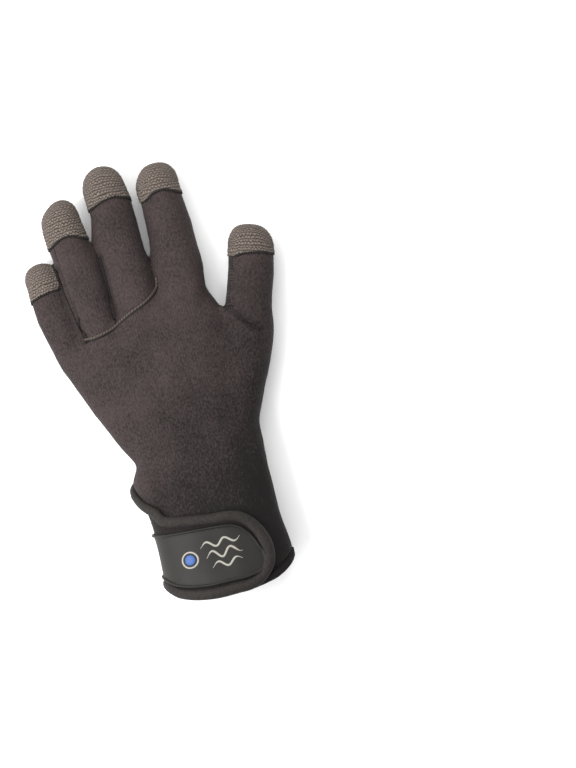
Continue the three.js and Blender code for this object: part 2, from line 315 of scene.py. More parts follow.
def two_tones(name, size, detail, dark, light, sockets):
    """A plain material in two close tones, in patches of a size in millimetres."""
    material = new_material(name)
    patches = noise(material, object_place(material), size, detail)
    return finish_material(material, blend(material, patches, dark, light), sockets)


print("linear mid grey:", round(linear("#808080")[0], 3))

# %% [markdown]
# Each fingertip is a cap of knit. Its seam comes from the frame, and so do the finger's tip, its middle and
# its height: they are looked up among the palm panel's points near a rough place for each tip. Lean is the
# direction in which the finger points, in degrees towards the thumb. Cap is how far back from the tip the
# knit is kept as a piece of its own.

# %% Find the fingertips
FINGERS = {
    "small_finger": {"near": (-60, 137), "lean": -6.5, "width": 24, "cap": 22},
    "ring_finger": {"near": (-37, 170), "lean": -2.4, "width": 27.5, "cap": 27},
    "middle_finger": {"near": (-7, 184), "lean": 1, "width": 29, "cap": 24},
    "index_finger": {"near": (24, 177), "lean": 2.4, "width": 29.5, "cap": 21.5},
    "thumb": {"near": (68, 127), "lean": 16.5, "width": 29.5, "cap": 20},
}
TIP_REACH = 8.5
TIP_POINT = 3
TAPER = 0.95
CAP_SIDE = 1.1
BEYOND_TIP = 5


def copy_of(node):
    """A merged copy of a CAD node, in the glove's frame."""
    bm = bmesh.new()
    bm.from_mesh(frame["nodes"][node].data)
    bmesh.ops.remove_doubles(bm, verts=bm.verts, dist=1e-6)
    bm.transform(TO_GLOVE)
    return bm


def finger_axes(finger):
    lean = math.radians(finger["lean"])
    along = np.array((math.sin(lean), math.cos(lean), 0))
    across = np.array((math.cos(lean), -math.sin(lean), 0))
    return along, across


panel = copy_of("palm_panel")
palm_points = np.array([vert.co for vert in panel.verts])
panel.free()
for name, finger in FINGERS.items():
    along, across = finger_axes(finger)
    away = palm_points - (*finger["near"], 0)
    own = palm_points[(abs(away @ across) < TIP_REACH) & (abs(away @ along) < finger["cap"])]
    finger["tip"] = (own @ along).max()
    point = own[own @ along > finger["tip"] - TIP_POINT]
    finger["middle"] = ((point @ across).min() + (point @ across).max()) / 2
    finger["half_width"] = finger["width"] * TAPER / 2
    finger["mid_height"] = (own[:, 2].min() + own[:, 2].max()) / 2
    finger["half_depth"] = (own[:, 2].max() - own[:, 2].min()) / 2
    print(name, "tip", round(float(finger["tip"]), 1), "half depth", round(float(finger["half_depth"]), 1))


def in_finger(finger, places):
    """Distance from the tip, distance across and height over the finger's middle."""
    along, across = finger_axes(finger)
    behind = finger["tip"] - places @ along
    return behind, places @ across - finger["middle"], places[:, 2] - finger["mid_height"]


def cap_number(places):
    """Negative on a fingertip, zero at the end of its cap."""
    numbers = []
    for finger in FINGERS.values():
        behind, aside, _ = in_finger(finger, places)
        numbers.append(np.maximum(behind - finger["cap"], abs(aside) - CAP_SIDE * finger["half_width"]))
    return np.min(numbers, 0)


def far_from(finger, places):
    """How little a place belongs to a finger: off its side, or beyond its tip."""
    behind, aside, _ = in_finger(finger, places)
    return abs(aside) + BEYOND_TIP * np.maximum(-behind, 0)


def nearest_finger(places):
    return np.argmin([far_from(finger, places) for finger in FINGERS.values()], 0)


# %% [markdown]
# Sewing and wear pull a glove a little out of its pattern. A table of nudges does the same. A nudge names a
# finger or none, and has a place in plan, a move and a reach, all in millimetres.

# %% Nudge the pattern
SHAPE_NUDGES = [
    ("ring_finger", (-26.8, 161.2), (-2.7, -0.2), 9), ("ring_finger", (-23.3, 145.2), (-1.2, 0.3), 8),
    ("ring_finger", (-45.1, 171.5), (1.1, -0.9), 7), ("middle_finger", (-22.8, 175.1), (1.5, -0.4), 9),
    ("middle_finger", (-23.9, 160.4), (2.0, -0.6), 9), ("middle_finger", (2.8, 175.2), (-1.4, 0.1), 7),
    ("index_finger", (34.5, 166.1), (-2.2, -0.6), 9), ("index_finger", (35.9, 151.4), (-1.2, 0.3), 8),
    ("index_finger", (25.8, 179.2), (-0.5, -1.3), 10), ("index_finger", (7.7, 153.2), (1.7, -0.5), 10),
    ("index_finger", (6.6, 138.4), (1.3, -0.4), 8), ("thumb", (68.8, 128.8), (-0.3, -1.0), 10),
    ("thumb", (79, 121), (-1.4, -0.6), 8), ("thumb", (52.6, 124.7), (1.7, -0.5), 8),
    (None, (62.6, 55.1), (-1.9, 0.5), 14), (None, (50.6, 30.4), (-1.1, 0.3), 10),
    (None, (-67.2, 92.3), (1.4, -0.4), 9), (None, (-65.4, 78.7), (1.5, -0.5), 9),
    ("small_finger", (-60.1, 140.8), (-0.4, -1.4), 8), ("small_finger", (-71, 131), (0.8, -0.2), 7),
    (None, (36.5, 92.5), (-0.7, -0.7), 5), ("index_finger", (11.5, 175), (1.6, -0.6), 7),
    ("index_finger", (8, 112), (-1.8, 0), 8), ("middle_finger", (1, 113), (1.2, 0), 8),
    ("middle_finger", (-24.3, 149), (1.4, -0.4), 8), ("ring_finger", (-25, 150), (-0.9, 0), 7),
    ("thumb", (48.5, 106), (1.5, -0.4), 9), ("thumb", (45.5, 95), (1.2, -0.3), 8),
    ("thumb", (73, 100), (0.8, -0.2), 12),
]


def nudged(places, table):
    """The places, moved by all nudges of a table. A named one only moves its own finger."""
    names = list(FINGERS)
    owner = nearest_finger(places)
    moved = places.copy()
    for name, at, by, reach in table:
        away = np.hypot(places[:, 0] - at[0], places[:, 1] - at[1]) / reach
        weight = np.exp(-away ** 2)
        if name:
            weight = weight * (owner == names.index(name))
        moved[:, :2] += weight[:, None] * by
    return moved


print("nudges:", len(SHAPE_NUDGES))

# %% [markdown]
# The cloth: a real glove is foam sheet, cut flat and sewn, so its surface is one soft skin with seams in
# it. It could be modelled panel by panel, but neighbours would then need matching edges. Here the frame's
# four hollow panels are joined and remeshed with small voxels into one even skin of quads. The panels are
# cut out of it later, along the frame's own seams, so that they always meet.

# %% Remesh the frame's shell into one skin
VOXEL = 0.95
SHELL = ("palm_panel", "back_panel", "middle_finger_back", "ring_finger_back")

shell_trees = {}
joined = bmesh.new()
for node in SHELL:
    panel_mesh = to_mesh(copy_of(node), node + "_copy")
    move_points(panel_mesh, nudged(points_of(panel_mesh), SHAPE_NUDGES))
    joined.from_mesh(panel_mesh)
    panel = bmesh.new()
    panel.from_mesh(panel_mesh)
    shell_trees[node] = BVHTree.FromBMesh(panel)
    panel.free()
    bpy.data.meshes.remove(panel_mesh)
skin = to_object(to_mesh(joined, "skin"), "skin")
remesh = skin.modifiers.new("even_quads", "REMESH")
remesh.mode = "VOXEL"
remesh.voxel_size = VOXEL
apply_modifiers(skin)
print("skin with its inside:", len(skin.data.vertices), "points")

# %% [markdown]
# Cutting a mesh along a free line: each point gets a number that is zero on the line, positive on one side
# and negative on the other. Every edge whose ends differ in sign is split where the number would be zero,
# and the new points are joined across the faces. The first such line is the cuff's rim. It runs straight
# across the palm side and slants out on the back. Cutting just inside it parts the outer skin from the
# inner one.

# %% Cut the skin open at the rim
CUFF_LENGTH = 69
CUFF_DEPTH = 46
RIM_BACK_REACH = 14
RIM_CUT = 0.7
SNAP = 0.1


def past_rim(places):
    """How far a place lies inside the rim, in mm along the cuff."""
    half = CUFF_DEPTH / 2
    bent = np.maximum(places[:, 2] - half, 0)
    return places[:, 1] + CUFF_LENGTH + bent * RIM_BACK_REACH / half


def cut_along(bm, layer):
    """Cuts the faces where the layer's number is zero, and snaps the points that lie almost on the line."""
    for vert in bm.verts:
        if abs(vert[layer]) < SNAP:
            vert[layer] = 0
    crossed = [edge for edge in bm.edges if edge.verts[0][layer] * edge.verts[1][layer] < 0]
    for edge in crossed:
        near, far = edge.verts
        share = near[layer] / (near[layer] - far[layer])
        fresh = bmesh.utils.edge_split(edge, near, share)[1]
        fresh[layer] = 0
    bmesh.ops.connect_verts(bm, verts=[vert for vert in bm.verts if vert[layer] == 0])


def side_of(face, layer):
    return sum(vert[layer] for vert in face.verts)


def width_of(verts):
    return max(vert.co.x for vert in verts) - min(vert.co.x for vert in verts)


def largest_island(bm):
    """Deletes all but the widest island of faces."""
    todo = set(bm.verts)
    islands = []
    while todo:
        island = set()
        front = [todo.pop()]
        while front:
            vert = front.pop()
            island.add(vert)
            for edge in vert.link_edges:
                other = edge.other_vert(vert)
                if other in todo:
                    todo.discard(other)
                    front.append(other)
        islands.append(island)
    keep = max(islands, key=width_of)
    bmesh.ops.delete(bm, geom=[vert for vert in bm.verts if vert not in keep], context="VERTS")


def fill_layer(bm, name, numbers):
    layer = bm.verts.layers.float.new(name)
    for vert, number in zip(bm.verts, numbers):
        vert[layer] = number
    return layer


cut = bmesh.new()
cut.from_mesh(skin.data)
rim_line = fill_layer(cut, "rim", past_rim(points_of(skin.data)) - RIM_CUT)
cut_along(cut, rim_line)
outside = [face for face in cut.faces if side_of(face, rim_line) < 0]
bmesh.ops.delete(cut, geom=outside, context="FACES")
largest_island(cut)
skin_mesh = to_mesh(cut, "outer_skin")
skin.data = skin_mesh
print("outer skin:", len(skin_mesh.vertices), "points,", len(skin_mesh.polygons), "faces")

# %% [markdown]
# Before the skin is smoothed, each of its points notes how far it is from each CAD panel. Where two of
# these distances are equal, the seam runs. Smoothing then takes the facets away. The hand has wide facets
# and takes many rounds, and the fingers keep their size with fewer. A second table of nudges moves the
# seams on the skin.

# %% Note the panels, then smooth
FINGER_ROUNDS = 45
HAND_ROUNDS = 80
HAND_END = 70
FINGERS_START = 100
SEAM_ROUNDS = 5
WEB_PLACE = (34, 99)
WEB_REACH = 8
WEB_ROUNDS = 70
SEAM_NUDGES = [
    ("index_finger", (25, 162), (0, 1.7), 10), ("index_finger", (9.2, 158.4), (0, -2.2), 7),
    ("index_finger", (34.7, 158.0), (0, -0.8), 7), ("middle_finger", (-4.4, 165.4), (0, 1.8), 8),
    ("ring_finger", (-38.7, 150.3), (0, 2.2), 8), ("ring_finger", (-27, 147.6), (0, -0.9), 7),
    ("thumb", (53.3, 113.9), (0, -3.0), 6), ("thumb", (64, 112), (0, -0.8), 8),
    ("thumb", (49.1, 105.8), (1.6, 0), 8), ("thumb", (45.7, 94.2), (1.6, 0), 8),
    (None, (-46, 90), (3.5, -1.6), 6), (None, (-32, 91), (0, -3.0), 8), (None, (-20, 94), (0, -1.6), 7),
]
raw = points_of(skin_mesh)
pairs = neighbours_of(skin_mesh)
looked_up = 2 * raw - nudged(raw, SEAM_NUDGES)
gap_to = {node: np.array([tree.find_nearest(Vector(place))[3] for place in looked_up])
          for node, tree in shell_trees.items()}
to_palm, to_back, to_middle, to_ring = (gap_to[node] for node in SHELL)
palm_number = to_palm - np.minimum(to_back, np.minimum(to_middle, to_ring))
middle_number = to_middle - np.minimum(to_back, to_ring)
ring_number = to_ring - to_back
palm_number, middle_number, ring_number = (
    smooth(number, pairs, SEAM_ROUNDS) for number in (palm_number, middle_number, ring_number))

soft = smooth_keeping_size(raw, pairs, FINGER_ROUNDS)
on_hand = 1 - ease((soft[:, 1] - HAND_END) / (FINGERS_START - HAND_END))
soft = smooth_keeping_size(soft, pairs, HAND_ROUNDS, 0.5 * on_hand)
at_web = np.exp(-(np.hypot(soft[:, 0] - WEB_PLACE[0], soft[:, 1] - WEB_PLACE[1]) / WEB_REACH) ** 2)
soft = smooth(soft, pairs, WEB_ROUNDS, 0.5 * at_web)
print("moved by smoothing, mm: mean", round(float(np.linalg.norm(soft - raw, axis=1).mean()), 2),
      "most", round(float(np.linalg.norm(soft - raw, axis=1).max()), 2))

# %% [markdown]
# Worn foam cloth is never even. Slow waves a few tenths of a millimetre high make it look handled. Creases
# are short valleys at the places that fold: between two fingers, the web beside the thumb and the edge of
# the wrist. Each crease is a line in plan, a width and a depth. A depth below zero raises a fold instead.
# The two creases between fingers are kept apart, because a dark line follows them later: seam thread, and beyond the
# seam a painted shade line where the fingers part.

# %% Waves and creases
FINGER_CREASES = [
    (((-45.2, 89), (-47, 98.8), (-48.4, 109.8), (-49.7, 119.4), (-50, 127.4), (-50.6, 133)), 2.0, 3.0),
    (((-23.4, 97), (-23.1, 104), (-23.1, 113), (-22.8, 123), (-22.8, 134)), 1.6, 1.8),
]
CREASES = FINGER_CREASES + [
    (((39.8, 84), (47, 73.8), (54.2, 63.4)), 2.2, -2.1),
    (((43.2, 85.2), (50.4, 75.3), (58.2, 65.3)), 2.8, 3.2),
    (((65.9, 99.6), (67.9, 91.2), (69.4, 83)), 4.5, 0.8),
    (((-22, 118), (-28, 116), (-34, 118)), 1.6, 0.3),
    (((-26, 109), (-32, 107), (-40, 110)), 1.8, 0.35),
    (((-12, 118), (-4, 116), (2, 119)), 1.8, 0.25),
    (((-52, 100), (-57, 97), (-63, 100)), 1.8, 0.4),
    (((-38, 10), (-28, 4), (-14, 1)), 5.0, 0.7),
    (((-40, -8), (-30, -13), (-16, -17)), 4.0, 0.6),
    (((36, 10), (28, 3), (14, 0)), 6.0, 0.6),
    (((-34, -3), (-32, -11)), 6.0, -2.0),
]
WAVES = ((46, 0.45), (21, 0.22), (9, 0.07))
WAVE_COUNT = 7
WAVE_SPREAD = (0.7, 1.4)
CURVE_PARTS = 12
LINE_STEP = 0.5
TABLE_REACH = 3
TABLE_GAP = 0.05


def waves(places, length, height, seed):
    """A sum of sine waves in random directions, about height high and length long."""
    dice = np.random.default_rng(seed)
    total = np.zeros(len(places))
    for _ in range(WAVE_COUNT):
        direction = dice.normal(size=3)
        direction *= 2 * math.pi / (length * dice.uniform(*WAVE_SPREAD) * np.linalg.norm(direction))
        total += np.sin(places @ direction + dice.uniform(0, 2 * math.pi))
    return height * total / math.sqrt(WAVE_COUNT)


def curve_through(points, step):
    """A smooth line through a few points, with a place every step millimetres."""
    given = np.array(points, float)
    padded = np.vstack([2 * given[0] - given[1], given, 2 * given[-1] - given[-2]])
    before, given, after, later = padded[:-3], padded[1:-2], padded[2:-1], padded[3:]
    dense = []
    for share in np.linspace(0, 1, CURVE_PARTS, endpoint=False):
        square, cube = share ** 2, share ** 3
        dense.append(0.5 * (2 * given + (after - before) * share
                            + (2 * before - 5 * given + 4 * after - later) * square
                            + (3 * given - before - 3 * after + later) * cube))
    return evenly(np.vstack([*np.stack(dense, 1), after[-1:]]), step)


def evenly(line, step):
    """The same line with its places the same distance apart."""
    way = np.concatenate([[0], np.cumsum(np.linalg.norm(np.diff(line, axis=0), axis=1))])
    at = np.linspace(0, way[-1], max(2, round(way[-1] / step) + 1))
    return np.stack([np.interp(at, way, column) for column in line.T], 1)


def tree_of(places):
    tree = KDTree(len(places))
    for number, place in enumerate(places):
        tree.insert(place, number)
    tree.balance()
    return tree


def distance_to(line, places):
    """Distance from each place to an open line, in as many axes as the line has."""
    axes = line.shape[1]
    padding = ((0, 0), (0, 3 - axes))
    tree = tree_of(np.pad(line, padding))
    return np.array([tree.find(place)[2] for place in np.pad(places[:, :axes], padding)])


move_points(skin_mesh, soft)
outward = normals_of(skin_mesh)
lift = sum(waves(soft, length, height, seed) for seed, (length, height) in enumerate(WAVES))
for points, width, depth in CREASES:
    away = distance_to(curve_through(points, LINE_STEP), soft) / width
    lift -= depth * np.exp(-away ** 2) * ease(2 * outward[:, 2])
off_table = ease(soft[:, 2] / TABLE_REACH)
soft = soft + outward * (lift * off_table)[:, None]
soft[:, 2] = np.maximum(soft[:, 2], TABLE_GAP)
move_points(skin_mesh, soft)
print("creases:", len(CREASES), "waves:", len(WAVES))

# %% [markdown]
# Now the skin is cut into its panels. The numbers from before say which panel a face belongs to: the palm
# and its caps are knit, and the rest is foam cloth. The cuts follow the frame's seams, softened a little,
# because a sewn seam has no corners.

# %% Cut the panels out
PANELS = ("palm_knit", "back_of_hand", "middle_finger_foam", "ring_finger_foam",
          *(name + "_cap" for name in FINGERS))
PALM, BACK, MIDDLE, RING, FIRST_CAP = range(5)

cloth = bmesh.new()
cloth.from_mesh(skin_mesh)
lines = {name: fill_layer(cloth, name, numbers) for name, numbers in (
    ("palm", palm_number), ("middle", middle_number), ("ring", ring_number), ("cap", cap_number(soft)))}
for layer in lines.values():
    cut_along(cloth, layer)
panel_of = cloth.faces.layers.int.new("panel")
centres = np.array([face.calc_center_median() for face in cloth.faces])

for face, tip in zip(cloth.faces, nearest_finger(centres)):
    if side_of(face, lines["palm"]) < 0:
        face[panel_of] = FIRST_CAP + int(tip) if side_of(face, lines["cap"]) < 0 else PALM
    elif side_of(face, lines["middle"]) < 0:
        face[panel_of] = MIDDLE
    elif side_of(face, lines["ring"]) < 0:
        face[panel_of] = RING
    else:
        face[panel_of] = BACK
counts = np.bincount([face[panel_of] for face in cloth.faces], minlength=len(PANELS))
for name, count in zip(PANELS, counts):
    print(name, count, "faces")

# %% [markdown]
# The lines between the panels are kept before the panels part: seams and stitches follow them later. A line
# is found as a chain of edges whose two faces belong to different panels.

# %% Trace the seams
def chains_between(bm, here, there):
    """Lines of places along the edges between two groups of panels."""
    links = {}
    for edge in bm.edges:
        owners = {face[panel_of] for face in edge.link_faces}
        if len(owners) == 2 and owners & here and owners & there and owners <= here | there:
            for vert in edge.verts:
                links.setdefault(vert, []).append(edge.other_vert(vert))
    chains = []
    while links:
        ends = [vert for vert, others in links.items() if len(others) == 1]
        vert = ends[0] if ends else next(iter(links))
        chain = [vert]
        while links.get(vert):
            other = links[vert].pop()
            if not links[vert]:
                del links[vert]
            if vert in links.get(other, []):
                links[other].remove(vert)
            if not links.get(other, True):
                del links[other]
            chain.append(other)
            vert = other
        chains.append(np.array([place.co for place in chain]))
    return sorted(chains, key=len, reverse=True)


def soften_line(line, rounds):
    for _ in range(rounds):
        line = np.vstack([line[0], 0.25 * line[:-2] + 0.5 * line[1:-1] + 0.25 * line[2:], line[-1]])
    return line


CLOTH = {BACK, MIDDLE, RING}
LINE_ROUNDS = 6
LONG_ENOUGH = 12
seams = {"side": chains_between(cloth, {PALM}, CLOTH)}
for number, name in enumerate(FINGERS, FIRST_CAP):
    seams[name + "_cap"] = chains_between(cloth, {number}, CLOTH)
for name, found in seams.items():
    kept = [chain for chain in found if len(chain) > LONG_ENOUGH]
    seams[name] = [evenly(soften_line(chain, LINE_ROUNDS), LINE_STEP) for chain in kept]
    print(name, "seam, mm:", [round(len(line) * LINE_STEP) for line in seams[name]])

# %% [markdown]
# A panel of cloth: it gets the foam's thickness on the inside. At a seam the cloth is pulled down by the
# thread, so the last millimetre before a panel's edge sinks. Solidify is the modifier for walls of even
# thickness.

# %% Make the foam panels
WALL = 3
SEAM_SINK = 0.8
SEAM_REACH = 1.5
HEM = 5.5
HEM_SWELL = 0.7
HEM_SOFT = 1.2
HEM_DIP = 1.5
DIP_WIDTH = 0.6
RIM_ROUND = 1.3
ON_TABLE = 0.02


def cut_panel(number):
    part = cloth.copy()
    owner = part.faces.layers.int["panel"]
    other = [face for face in part.faces if face[owner] != number]
    bmesh.ops.delete(part, geom=other, context="FACES")
    return to_mesh(part, PANELS[number])


def seam_distance(mesh, places):
    """Distance of each point to the panel's sewn edges. The open rim doesn't count."""
    ends, open_edge = edges_of(mesh)
    border = np.unique(ends[open_edge])
    sewn = border[past_rim(places[border]) > RIM_CUT + 1]
    return distance_to(places[sewn], places)


def sink_seam(places, outward, distance):
    """The places, pulled in by the thread beside a seam."""
    near = np.clip(1 - distance / SEAM_REACH, 0, 1)
    return places - outward * (SEAM_SINK * near ** 2)[:, None]


def shape_rim(places, outward):
    """The hem: a fold of cloth that swells a little, ends in a stitched dip and has a round edge."""
    inside = past_rim(places) - RIM_CUT
    swell = HEM_SWELL * ease(inside / RIM_ROUND) * ease((HEM - inside) / HEM_SOFT)
    dip = HEM_DIP * np.exp(-((inside - HEM) / DIP_WIDTH) ** 2)
    missing = np.clip(1 - inside / RIM_ROUND, 0, 1)
    edge = RIM_ROUND * (1 - np.sqrt(1 - missing ** 2))
    return places + outward * (swell - dip - edge)[:, None]


def thicken(piece, wall):
    """Gives the cloth a wall on its inside."""
    solidify = piece.modifiers.new("wall", "SOLIDIFY")
    solidify.thickness = wall
    solidify.offset = -1
    apply_modifiers(piece)


def place_piece(piece, slot, material, *nodes):
    """Moves a finished piece to its place in the frame and says what it stands for there."""
    places = points_of(piece.data)
    places[:, 2] = np.maximum(places[:, 2], ON_TABLE)
    move_points(piece.data, places)
    piece.data.transform(TO_ROW)
    piece.data.materials.clear()
    piece.data.materials.append(material)
    piece.data.polygons.foreach_set("use_smooth", [True] * len(piece.data.polygons))
    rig.ride(piece, "root")
    if slot:
        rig.slot(piece, slot)
    if nodes:
        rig.replaces(piece, *nodes)
    triangles = sum(len(face.vertices) - 2 for face in piece.data.polygons)
    print(piece.name, triangles, "triangles")


# %% [markdown]
# The foam's face is nylon jersey, laminated on: a fine knit of tiny loops with a soft, slightly hairy
# shine. Real loops are half a millimetre wide, too fine for this picture, so they are drawn about twice as
# coarse. Two noises do it: one for the loops, which also gives the bump, and a wide one for handled
# patches. A sine adds the faint ribs of the knit, and a painted shade darkens the tone towards the cuff
# and the thumb's side, away from the lamps. Sheen on the shader stands for the fuzz that catches light at
# grazing angles.

# %% Jersey material
LOOP = 1.0
LOOP_STRETCH = 0.6
PATCH = 32
PATCH_SHARE = 0.5
RIB = 1.7
RIB_BEND = 9
RIB_HEIGHT = 0.12
JERSEY_BUMP = 0.6
FALLOFF_START = -0.12
FALLOFF_END = 0.01
FALLOFF_LEAN = -0.8
TONE_FROM, TONE_TO = 0.42, 1.02
FABRIC = {"IOR": 1.5, "Specular IOR Level": 0.15, "Sheen Weight": 0.03}


def jersey(name, deep, worn_and_lit, roughness, relief, falloff_shade=0.0):
    """Nylon jersey: two close tones in loops and patches, with relief millimetres of bump. The last argument
    paints a shade that darkens it towards the cuff and the thumb's side, away from the lamps.
    """
    material = new_material(name)
    place = object_place(material)
    stretch = add_node(material, "ShaderNodeMapping", {"Vector": place, "Scale": (1, LOOP_STRETCH, 1)})
    loops = noise(material, stretch.outputs["Vector"], LOOP, 3, 0.6)
    patches = noise(material, place, PATCH, 4, 0.6)
    axes = add_node(material, "ShaderNodeSeparateXYZ", {"Vector": place}).outputs
    bent = maths(material, "MULTIPLY", patches, RIB_BEND)
    ribs = maths(material, "SINE", maths(material, "MULTIPLY_ADD", axes["X"], 2 * math.pi / (RIB * MM), bent))
    height = maths(material, "MULTIPLY_ADD", ribs, RIB_HEIGHT, loops)
    way = maths(material, "MULTIPLY_ADD", axes["X"], FALLOFF_LEAN, axes["Y"])
    # Painted shade: the colour darkens towards the cuff and the thumb's side, away from the lamps, by the share that
    # the last argument gives.
    shade_amount = map_range(material, way, FALLOFF_START, FALLOFF_END, falloff_shade, 0.0)
    both = maths(material, "MULTIPLY_ADD", patches, PATCH_SHARE, loops)
    amount = maths(material, "SUBTRACT", map_range(material, both, TONE_FROM, TONE_TO), shade_amount, use_clamp=True)
    return finish_material(material, blend(material, amount, deep, worn_and_lit),
                           {"Roughness": roughness, "Sheen Roughness": 0.4, **FABRIC},
                           relief_of(material, height, JERSEY_BUMP, relief))


# The neoprene takes the painted shade that darkens it towards the cuff and the thumb's side.
neoprene = jersey("neoprene_laminated_nylon_jersey", "#141111", "#3c3332", 0.88, 0.5, falloff_shade=0.8)
print("made", neoprene.name)

# %% [markdown]
# The foam panels: each is cut out, sinks at its seams, gets its hem at the rim and then its wall.

# %% Dress the foam panels
def foam_panel(number, node):
    piece = to_object(cut_panel(number), PANELS[number])
    places = points_of(piece.data)
    outward = normals_of(piece.data)
    distance = seam_distance(piece.data, places)
    move_points(piece.data, sink_seam(shape_rim(places, outward), outward, distance))
    thicken(piece, WALL)
    place_piece(piece, "neoprene", neoprene, node)


for number in (BACK, MIDDLE, RING):
    foam_panel(number, SHELL[number])

# %% [markdown]
# The palm and the fingertips are a coarse cut-resistant knit. Seen close, it is rows of short purl bumps,
# each row half a bump out of step with the next, with dark wavy gaps between the rows. One formula draws
# it: rows along the finger, bumps across it. On the fingertips it is real relief, because it shows at the
# outline. The same formula, written again as nodes, gives the finer bump and the colour: yarn on the bumps,
# and a painted shade in the gaps, darker the lower the knit lies.

# %% The knit's formula
ROW = 1.75
STITCH = 2.0
ROW_WAVE = 0.13
RIDGE_POWER = 0.75
BUMP_SHARE = 0.5
KNIT_RELIEF = 0.55
ROW_BOW = 1.6
FUZZ = 1.1
FUZZ_SHARE = 1.1
GAP_TONE, YARN_TONE = 0.55, 1.6
KNIT_BUMP = 0.7
KNIT_BUMP_HEIGHT = 0.45


def knit_height(along, around):
    """Height of the knit, 0 to 1, from millimetres along the finger and around it."""
    phase = 2 * math.pi * around / STITCH
    row = along / ROW + ROW_WAVE * np.cos(phase)
    number = np.round(row)
    ridge = np.abs(np.cos(math.pi * (row - number))) ** RIDGE_POWER
    return ridge * (1 - BUMP_SHARE + BUMP_SHARE * (0.5 + 0.5 * np.cos(phase + math.pi * number)))


def knit_material(name, gap_shade, yarn):
    material = new_material(name)
    uv = add_node(material, "ShaderNodeUVMap", uv_map="knit").outputs["UV"]
    axes = add_node(material, "ShaderNodeSeparateXYZ", {"Vector": uv}).outputs
    phase = maths(material, "MULTIPLY", axes["X"], 2 * math.pi / STITCH)
    wave = maths(material, "MULTIPLY", maths(material, "COSINE", phase), ROW_WAVE)
    row = maths(material, "MULTIPLY_ADD", axes["Y"], 1 / ROW, wave)
    number = maths(material, "ROUND", row)
    rest = maths(material, "MULTIPLY", maths(material, "SUBTRACT", row, number), math.pi)
    ridge = maths(material, "ABSOLUTE", maths(material, "COSINE", rest))
    ridge = maths(material, "POWER", ridge, RIDGE_POWER)
    turn = maths(material, "COSINE", maths(material, "MULTIPLY_ADD", number, math.pi, phase))
    bumps = maths(material, "MULTIPLY_ADD", turn, BUMP_SHARE / 2, 1 - BUMP_SHARE / 2)
    height = maths(material, "MULTIPLY", ridge, bumps)
    fuzz = noise(material, object_place(material), FUZZ, 3, 0.7)
    worn_and_lit = maths(material, "MULTIPLY_ADD", fuzz, FUZZ_SHARE, height)
    # Painted shade: the colour darkens where the knit lies low, in the gaps between the rows. The fuzz noise adds
    # uneven wear.
    amount = map_range(material, worn_and_lit, GAP_TONE, YARN_TONE)
    return finish_material(material, blend(material, amount, gap_shade, yarn),
                           {"Roughness": 0.95, "Sheen Roughness": 0.5, **FABRIC},
                           relief_of(material, worn_and_lit, KNIT_BUMP, KNIT_BUMP_HEIGHT))


tip_knit = knit_material("cut_resistant_yarn_knit_tips", "#1a1614", "#6e645d")
# The palm's copy of the knit has much darker tones: a painted shade for its sides and underside.
shaded_palm_knit = knit_material("cut_resistant_yarn_knit_palm_shaded", "#0c0b0b", "#35302e")
print("rows of", ROW, "mm, stitches of", STITCH, "mm")

# %% [markdown]
# On a fingertip the rows run round the finger and close over its end. The way along the finger bends over
# the tip like a quarter circle, and the way around it follows the finger's round section, folded at both
# sides so that it never jumps. Each cap is subdivided once to carry the relief, gets its wall, and only
# then its relief, which leaves the inside smooth.

# %% Knit the fingertips
CAP_WALL = 2.6
CAP_PROUD = 0.45
CAP_EASE = 1.2
EDGE_ROW = 1.7
EDGE_PUFF = 0.35
EDGE_WIDTH = 0.7
EDGE_SINK = 0.6
RELIEF_MIDDLE = 0.3
RELIEF_START = 1.5
UNEVEN_LENGTH = 5
UNEVEN = 0.32


def write_uv(mesh, u, v):
    uv = mesh.uv_layers.new(name="knit")
    corners = numbers_of(mesh.loops, "vertex_index")
    uv.data.foreach_set("uv", np.stack([u[corners], v[corners]], 1).ravel())


def round_the_tip(finger, places):
    """Millimetres along the finger, over its tip, and around it."""
    behind, aside, over = in_finger(finger, places)
    length = finger["half_width"]
    depth = finger["half_depth"]
    turn = np.arctan2((length - behind) / length, np.abs(over) / depth)
    along = np.where(behind > length, behind - length, -turn * (length + depth) / 2)
    size = np.sqrt(aside ** 2 + (over * length / depth) ** 2) + 1e-6
    around = size * np.arcsin(np.clip(aside / size, -1, 1))
    return along, around


def knit_cap(number, name):
    finger = FINGERS[name]
    piece = to_object(cut_panel(FIRST_CAP + number), name + "_cap")
    finer = piece.modifiers.new("finer", "SUBSURF")
    finer.levels = 1
    finer.render_levels = 1
    apply_modifiers(piece)
    places = points_of(piece.data)
    outward = normals_of(piece.data)
    count = len(places)
    edge = distance_to(np.vstack(seams[name + "_cap"]), places)
    along, around = round_the_tip(finger, places)
    aside = in_finger(finger, places)[1] / finger["half_width"]
    seed = FIRST_CAP + number
    along = along + ROW_BOW * (1 - np.minimum(aside ** 2, 1)) + waves(places, UNEVEN_LENGTH, UNEVEN, seed)
    around = around + waves(places, UNEVEN_LENGTH, UNEVEN, seed + len(FINGERS))
    write_uv(piece.data, around, along)
    relief = KNIT_RELIEF * (knit_height(along, around) - RELIEF_MIDDLE) * ease(edge / RELIEF_START)
    puff = EDGE_PUFF * np.exp(-((edge - EDGE_ROW / 2) / EDGE_WIDTH) ** 2)
    sink = EDGE_SINK * np.clip(1 - edge / EDGE_WIDTH, 0, 1) ** 2
    proud = CAP_PROUD * ease(edge / CAP_EASE)
    thicken(piece, CAP_WALL)
    walled = points_of(piece.data)
    walled[:count] = places + outward * (relief + puff + proud - sink)[:, None]
    move_points(piece.data, walled)
    place_piece(piece, "palm_knit", tip_knit, "palm_panel")


for number, name in enumerate(FINGERS):
    knit_cap(number, name)

